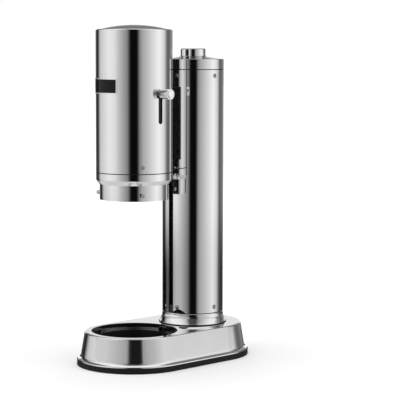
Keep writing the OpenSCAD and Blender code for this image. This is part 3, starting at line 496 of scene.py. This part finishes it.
COLUMN_Y, COLUMN_RADIUS = 0.057, 0.0436
CHAMBER_Y, CHAMBER_RADIUS = -0.057, 0.0527
COLUMN_SCREWS = [(angle, level) for angle in (-90, -15, 15, 90, 180) for level in (0.0716, 0.4)]
CHAMBER_SCREWS = [(angle, 0.277) for angle in (-60, 60, 180)]
SCREW_SINK = 0.00002
bm = bmesh.new()
for angle, level in COLUMN_SCREWS:
    socket_screw(bm, 0.0023, 0.0009, radial(COLUMN_Y, angle, COLUMN_RADIUS - SCREW_SINK, level))
bmesh.ops.recalc_face_normals(bm, faces=bm.faces[:])
link_piece("column_screw_heads", bm, screw_steel, "stand", "plain_steel", "column_screws", smooth=False)
bm = bmesh.new()
for angle, level in CHAMBER_SCREWS:
    socket_screw(bm, 0.0022, 0.0008, radial(CHAMBER_Y, angle, CHAMBER_RADIUS - SCREW_SINK, level))
bmesh.ops.recalc_face_normals(bm, faces=bm.faces[:])
link_piece("chamber_screw_heads", bm, screw_steel, "chamber", "plain_steel", "chamber_screws", smooth=False)


# The collar. A turned and polished ring at the foot of the column. It widens in a hollow sweep until it meets
# the top of the base, with a shallow groove near its upper edge. A thin black ring under its foot is painted
# shade, a dark line where the collar's contact shadow falls on the base.
BASE_TOP, COLLAR_TOP, COLLAR_BORE = 0.0465, 0.0636, 0.0424
GROOVE_DEPTH = 0.0006
SWEEP_TOP, SWEEP_FOOT, FLARE = 0.0624, 0.0475, 0.0043
SWEEP_STEPS, SWEEP_POWER = 16, 2.5
collar_profile = [(COLLAR_BORE, BASE_TOP), (COLLAR_BORE, COLLAR_TOP), (COLUMN_RADIUS, COLLAR_TOP),
                  (COLUMN_RADIUS - GROOVE_DEPTH, 0.0635), (COLUMN_RADIUS - GROOVE_DEPTH, 0.0625)]
for step in range(SWEEP_STEPS + 1):
    share = step / SWEEP_STEPS
    collar_profile.append((COLUMN_RADIUS + FLARE * share ** SWEEP_POWER,
                           SWEEP_TOP + share * (SWEEP_FOOT - SWEEP_TOP)))
collar_profile += [(0.0474, 0.0474), (0.0462, 0.0474), (0.0462, BASE_TOP), (COLLAR_BORE, BASE_TOP)]
bm = bmesh.new()
turned_shape(bm, collar_profile, Matrix.Translation((0, COLUMN_Y, 0)), steps=160)
link_piece("turned_collar", bm, mirror_steel, "stand", "polished_steel", "column_collar")
# Painted shade: a thin black ring round the collar's foot, standing in for its contact shadow on the base
shadow_ring_profile = [(0.0463, 0.0466), (0.0463, 0.0473), (0.0482, 0.0475), (0.0485, 0.0472), (0.0485, 0.0466),
                  (0.0463, 0.0466)]
bm = bmesh.new()
turned_shape(bm, shadow_ring_profile, Matrix.Translation((0, COLUMN_Y, 0)), steps=120)
link_piece("collar_shadow_ring", bm, rubber, "stand", "rubber")


# Seams. A thin black ring lies in the groove under the lid, in the one under the chamber's tube and in the
# one on the column's collar. It is painted shade, which makes each groove a dark line where it would be
# shaded.
SEAM_PLAY = 0.00002


def shade_seam_ring(name, centre_y, radius, inset, low, high, body):
    bm = bmesh.new()
    inner, outer = radius - GROOVE_DEPTH + SEAM_PLAY, radius - inset
    rim = (outer - inner) * 0.2
    profile = [(inner, low), (outer - rim, low), (outer, low + rim), (outer, high - rim), (outer - rim, high),
               (inner, high), (inner, low)]
    turned_shape(bm, profile, Matrix.Translation((0, centre_y, 0)), steps=128)
    link_piece(name, bm, painted_shade_rubber, body, "rubber", smooth=False)


# Painted shade: near-black rubber for the seam rings and the screw washers, which stand in for shadow lines
painted_shade_rubber = moulded("painted_shade_rubber", (0.004, 0.004, 0.004), (0.007, 0.007, 0.007), 0.6, 0.75, 2600.0, 0.00001,
                      specular=0.15)
shade_seam_ring("lid_seam", COLUMN_Y, COLUMN_RADIUS, 0.00015, 0.40805, 0.40915, "stand")
shade_seam_ring("collar_seam", COLUMN_Y, COLUMN_RADIUS, 0.00006, 0.06255, 0.0635, "stand")
shade_seam_ring("chamber_seam", CHAMBER_Y, CHAMBER_RADIUS, 0.00006, 0.26755, 0.26865, "chamber")


# Washers. A thin black washer with a sloping edge lies under each small screw. It is painted shade, a dark
# ring round each head where its shadow line falls on the tube. It is bedded a little in the tube.
WASHER_THICKNESS, WASHER_BED, WASHER_SLOPE = 0.0003, 0.0001, 0.93


def shadow_washer(bm, radius, place):
    first = len(bm.verts)
    rim = bmesh.ops.create_circle(bm, cap_ends=True, segments=28, radius=radius)["verts"]
    disc = list({face for vert in rim for face in vert.link_faces})
    sheet = bmesh.ops.extrude_face_region(bm, geom=disc)["geom"]
    top = [item for item in sheet if isinstance(item, bmesh.types.BMVert)]
    bmesh.ops.translate(bm, vec=(0, 0, WASHER_THICKNESS), verts=top)
    bmesh.ops.scale(bm, vec=(WASHER_SLOPE, WASHER_SLOPE, 1), verts=top)
    bm.verts.ensure_lookup_table()
    bmesh.ops.translate(bm, vec=(0, 0, -WASHER_BED), verts=bm.verts[first:])
    bmesh.ops.transform(bm, matrix=place, verts=bm.verts[first:])
    bmesh.ops.recalc_face_normals(bm, faces=bm.faces[:])


bm = bmesh.new()
for angle, level in COLUMN_SCREWS:
    shadow_washer(bm, 0.0031, radial(COLUMN_Y, angle, COLUMN_RADIUS, level))
link_piece("column_shadow_washers", bm, painted_shade_rubber, "stand", "rubber", smooth=False)
bm = bmesh.new()
for angle, level in CHAMBER_SCREWS:
    shadow_washer(bm, 0.0027, radial(CHAMBER_Y, angle, CHAMBER_RADIUS, level))
link_piece("chamber_shadow_washers", bm, painted_shade_rubber, "chamber", "rubber", smooth=False)


# The gas cylinder and its valve. A steel bottle with a stoved grey coat hangs in the valve block by its brass
# valve, with a rubber gasket between them and a brass fitting for the hose beside it.
cylinder_coat = moulded("cylinder_coat", (0.3, 0.31, 0.32), (0.36, 0.37, 0.38), 0.25, 0.4, 700.0, 0.00002,
                        worn=(0.55, 0.55, 0.56))
brass = polished_metal("turned_brass", (0.62, 0.47, 0.22), (0.78, 0.62, 0.33), 0.18, 0.38, 1800.0, 60.0,
                       0.000006)
dress(cylinder_coat, "co2_cylinder")
dress(brass, "valve_block", "cylinder_valve", "upper_hose_barb", "valve_pin")
dress(rubber, "valve_gasket")


# The carriage. Two ground steel rods guide a block of filled plastic on four pale bushes. The arm joins it to
# the chamber.
ground_steel = polished_metal("ground_steel", (0.56, 0.56, 0.57), (0.66, 0.66, 0.67), 0.1, 0.22, 2600.0, 25.0,
                              0.000002)
dress(ground_steel, "guide_rods")
dress(tray_plastic, "carriage")
dress(screw_steel, "carriage_screws", "arm_screws")
dress(brass, "lower_hose_barb")


# The arm. A black coated casting that runs in the column's slot and holds the chamber by a curved saddle. The
# coat is worn at its edges.
black_coat = moulded("black_coat", (0.008, 0.008, 0.009), (0.016, 0.016, 0.017), 0.35, 0.55, 1600.0, 0.00002,
                     worn=(0.2, 0.2, 0.21), specular=0.4)
dress(black_coat, "arm_plate")


# The back strip. A thin black moulded trim on the chamber's back, in pieces above and below the arm and on
# the rings under it. It is painted shade: it darkens the side that faces the column, so the column's mirror
# shows a dark stripe there.
LINER_RADIUS = 0.0478
STRIP_HALF_WIDTH, STRIP_GLUE, STRIP_BEVEL = radians(9.5), 0.0001, 0.0005
STRIP_PIECES = ((CHAMBER_RADIUS, 0.0012, 0.27, 0.2808), (CHAMBER_RADIUS, 0.0012, 0.3842, 0.461),
                (CHAMBER_RADIUS, 0.0008, 0.2606, 0.2672), (LINER_RADIUS, 0.0004, 0.2315, 0.2517))
bm = bmesh.new()
for radius, thickness, low, high in STRIP_PIECES:
    first = len(bm.verts)
    inside = radius + STRIP_GLUE
    shoulder, outside = inside + thickness * 0.6, inside + thickness
    outline = ((inside, low), (shoulder, low), (outside, low + STRIP_BEVEL), (outside, high - STRIP_BEVEL),
               (shoulder, high), (inside, high))
    corners = [bm.verts.new((0, reach, level)) for reach, level in outline]
    section = bm.faces.new(corners)
    turn = Matrix.Rotation(-STRIP_HALF_WIDTH, 3, "Z")
    bmesh.ops.rotate(bm, cent=(0, 0, 0), matrix=turn, verts=corners)
    bmesh.ops.spin(bm, geom=[section] + section.edges[:] + section.verts[:], cent=(0, 0, 0), axis=(0, 0, 1),
                   angle=2 * STRIP_HALF_WIDTH, steps=10, use_duplicate=False)
    bm.verts.ensure_lookup_table()
    bmesh.ops.translate(bm, vec=(0, CHAMBER_Y, 0), verts=bm.verts[first:])
bmesh.ops.recalc_face_normals(bm, faces=bm.faces[:])
# Painted shade: near-black plastic for the strip on the chamber's shaded back
back_shade_plastic = moulded("back_shade_plastic", (0.006, 0.006, 0.006), (0.01, 0.01, 0.011), 0.4, 0.55, 2400.0,
                        0.00001, specular=0.3)
link_piece("back_shade_strip", bm, back_shade_plastic, "chamber", "black_plastic", smooth=False)


# The chamber. A drawn tube with a pressed cap and a turned collar below it, polished to a mirror, round an
# inner tube that comes down over the bottle. Three turned studs stand on the inner tube's lower ring.
stud_steel = polished_metal("stud_steel", (0.46, 0.46, 0.47), (0.54, 0.54, 0.55), 0.06, 0.14, 2500.0, 120.0,
                            0.000002)
ring_steel = polished_metal("ring_steel", (0.72, 0.72, 0.725), (0.76, 0.76, 0.765), 0.06, 0.1, 1300.0, 24.0,
                            0.0000012)
dress(mirror_steel, "chamber_tube", "chamber_cap", "chamber_collar")
dress(ring_steel, "liner_tube")
dress(stud_steel, "lock_studs")


# The badge. A thin bright border of brushed steel round a bare plate of black lacquered steel. Both are
# curved with the chamber and stuck on its front.
badge_lacquer = moulded("badge_lacquer", (0.004, 0.004, 0.005), (0.006, 0.006, 0.007), 0.12, 0.2, 900.0,
                        0.000004, specular=0.14)
badge_border = polished_metal("badge_border", (0.88, 0.88, 0.885), (0.94, 0.94, 0.945), 0.3, 0.45, 2600.0,
                              60.0, 0.000003)
dress(badge_lacquer, "badge_plate")
dress(badge_border, "badge_frame")


# The gas way. A brass port, a thin bent pipe and a feed tube of steel carry the gas from the hose to the
# nozzle head, and a second pin guides the head.
dress(brass, "pipe_port")
dress(sheet_steel, "gas_pipe")
dress(ground_steel, "feed_tube", "head_guide_pin")


# The handle. A turned knob on a steel stem, finished with fine lines round its axis. It slides in the
# chamber's slot, which a black plastic strip closes from inside.
def ringed_metal(name, dark, light, smooth, dull, centre, turns, depth):
    material = bpy.data.materials.new(name)
    material.use_nodes = True
    tree = material.node_tree
    shader = tree.nodes["Principled BSDF"]
    shader.inputs["Metallic"].default_value = 1
    place = tree.nodes.new("ShaderNodeMapping")
    place.inputs["Location"].default_value = [-value for value in centre]
    tree.links.new(object_coordinates(tree), place.inputs["Vector"])
    rings = tree.nodes.new("ShaderNodeTexWave")
    rings.wave_type = "RINGS"
    rings.rings_direction = "X"
    rings.inputs["Scale"].default_value = turns
    rings.inputs["Distortion"].default_value = 1.5
    tree.links.new(place.outputs[0], rings.inputs["Vector"])
    marks = place_group(tree, polish_marks, Lines=1500.0, Clouds=120.0)
    tinted(tree, shader, marks.outputs["Clouds"], dark, light)
    tree.links.new(span(tree, rings.outputs["Fac"], 0, 1, smooth, dull), shader.inputs["Roughness"])
    bumped(tree, shader, rings.outputs["Fac"], depth)
    return material


HANDLE_LEVEL = 0.3765
KNOB_START = CHAMBER_RADIUS + 0.0035
knob_profile = [(0, 0.008), (0.00235, 0.008), (0.00235, 0.0002), (0.0027, 0), (0.0058, 0), (0.0063, 0.0002),
                (0.00655, 0.0007), (0.0066, 0.0012), (0.00735, 0.0154), (0.00735, 0.0158), (0.00722, 0.0162),
                (0.0069, 0.01648), (0.0064, 0.0166), (0.0059, 0.0166), (0.0056, 0.0165), (0.0052, 0.01632),
                (0.0035, 0.01622), (0, 0.0162)]
bm = bmesh.new()
turned_shape(bm, knob_profile, radial(CHAMBER_Y, 90, KNOB_START, HANDLE_LEVEL), steps=96)
knob_steel = ringed_metal("knob_steel", (0.8, 0.8, 0.81), (0.86, 0.86, 0.87), 0.14, 0.22,
                          (KNOB_START, CHAMBER_Y, HANDLE_LEVEL), 900.0, 0.000001)
link_piece("turned_knob", bm, knob_steel, "handle", "polished_steel", "handle_knob")
dress(ground_steel, "handle_stem")
slider_plastic = moulded("slider_plastic", (0.006, 0.006, 0.006), (0.011, 0.011, 0.012), 0.3, 0.45, 2400.0,
                         0.000008, specular=0.3)
dress(slider_plastic, "handle_slider")


# The nozzle head. A cast yoke carries the handle's movement over the edge of the inner tube to the moulded
# head, which holds the seals, the relief valve and the thin tube that brings the gas into the bottle.
head_plastic = moulded("head_plastic", (0.02, 0.02, 0.021), (0.035, 0.035, 0.037), 0.35, 0.5, 2000.0,
                       0.000012)
pale_plastic = moulded("pale_plastic", (0.62, 0.61, 0.56), (0.7, 0.69, 0.65), 0.3, 0.45, 2000.0, 0.00001)
dress(head_plastic, "nozzle_head")
dress(cast_block, "nozzle_yoke")
dress(pale_plastic, "nozzle_tip", "carriage_bushes")
dress(brass, "relief_valve")
dress(screw_steel, "yoke_screws")
dress(rubber, "feed_seal", "bottle_seal")
dress(ground_steel, "nozzle_tube")


# The button. A turned cap, polished all over, with painted shade on top where its colour is darker, on a
# steel rod that opens the cylinder's valve. A wire spring lifts it again.
dress(lid_steel, "button_cap")
dress(ground_steel, "push_rod")
SPRING_RADIUS, WIRE_RADIUS, SPRING_TURNS = 0.0095, 0.0007, 6
SPRING_FOOT, SPRING_TOP = 0.412, 0.4345
TURN_STEPS = 36
bm = bmesh.new()
upright = Matrix.Translation((SPRING_RADIUS, 0, 0)) @ Matrix.Rotation(pi / 2, 4, "X")
bmesh.ops.create_circle(bm, cap_ends=True, segments=10, radius=WIRE_RADIUS, matrix=upright)
steps = SPRING_TURNS * TURN_STEPS
rise = (SPRING_TOP - SPRING_FOOT) / steps
bmesh.ops.spin(bm, geom=bm.verts[:] + bm.edges[:] + bm.faces[:], cent=(0, 0, 0), axis=(0, 0, 1),
               dvec=(0, 0, rise), angle=2 * pi * SPRING_TURNS, steps=steps, use_duplicate=False)
bmesh.ops.translate(bm, vec=(0, COLUMN_Y, SPRING_FOOT), verts=bm.verts[:])
bmesh.ops.recalc_face_normals(bm, faces=bm.faces[:])
spring_wire = polished_metal("spring_wire", (0.4, 0.4, 0.41), (0.5, 0.5, 0.51), 0.2, 0.35, 1500.0, 60.0,
                             0.000003)
coil = link_piece("button_spring_coil", bm, spring_wire, "stand", "plain_steel", "button_spring")
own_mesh(coil)
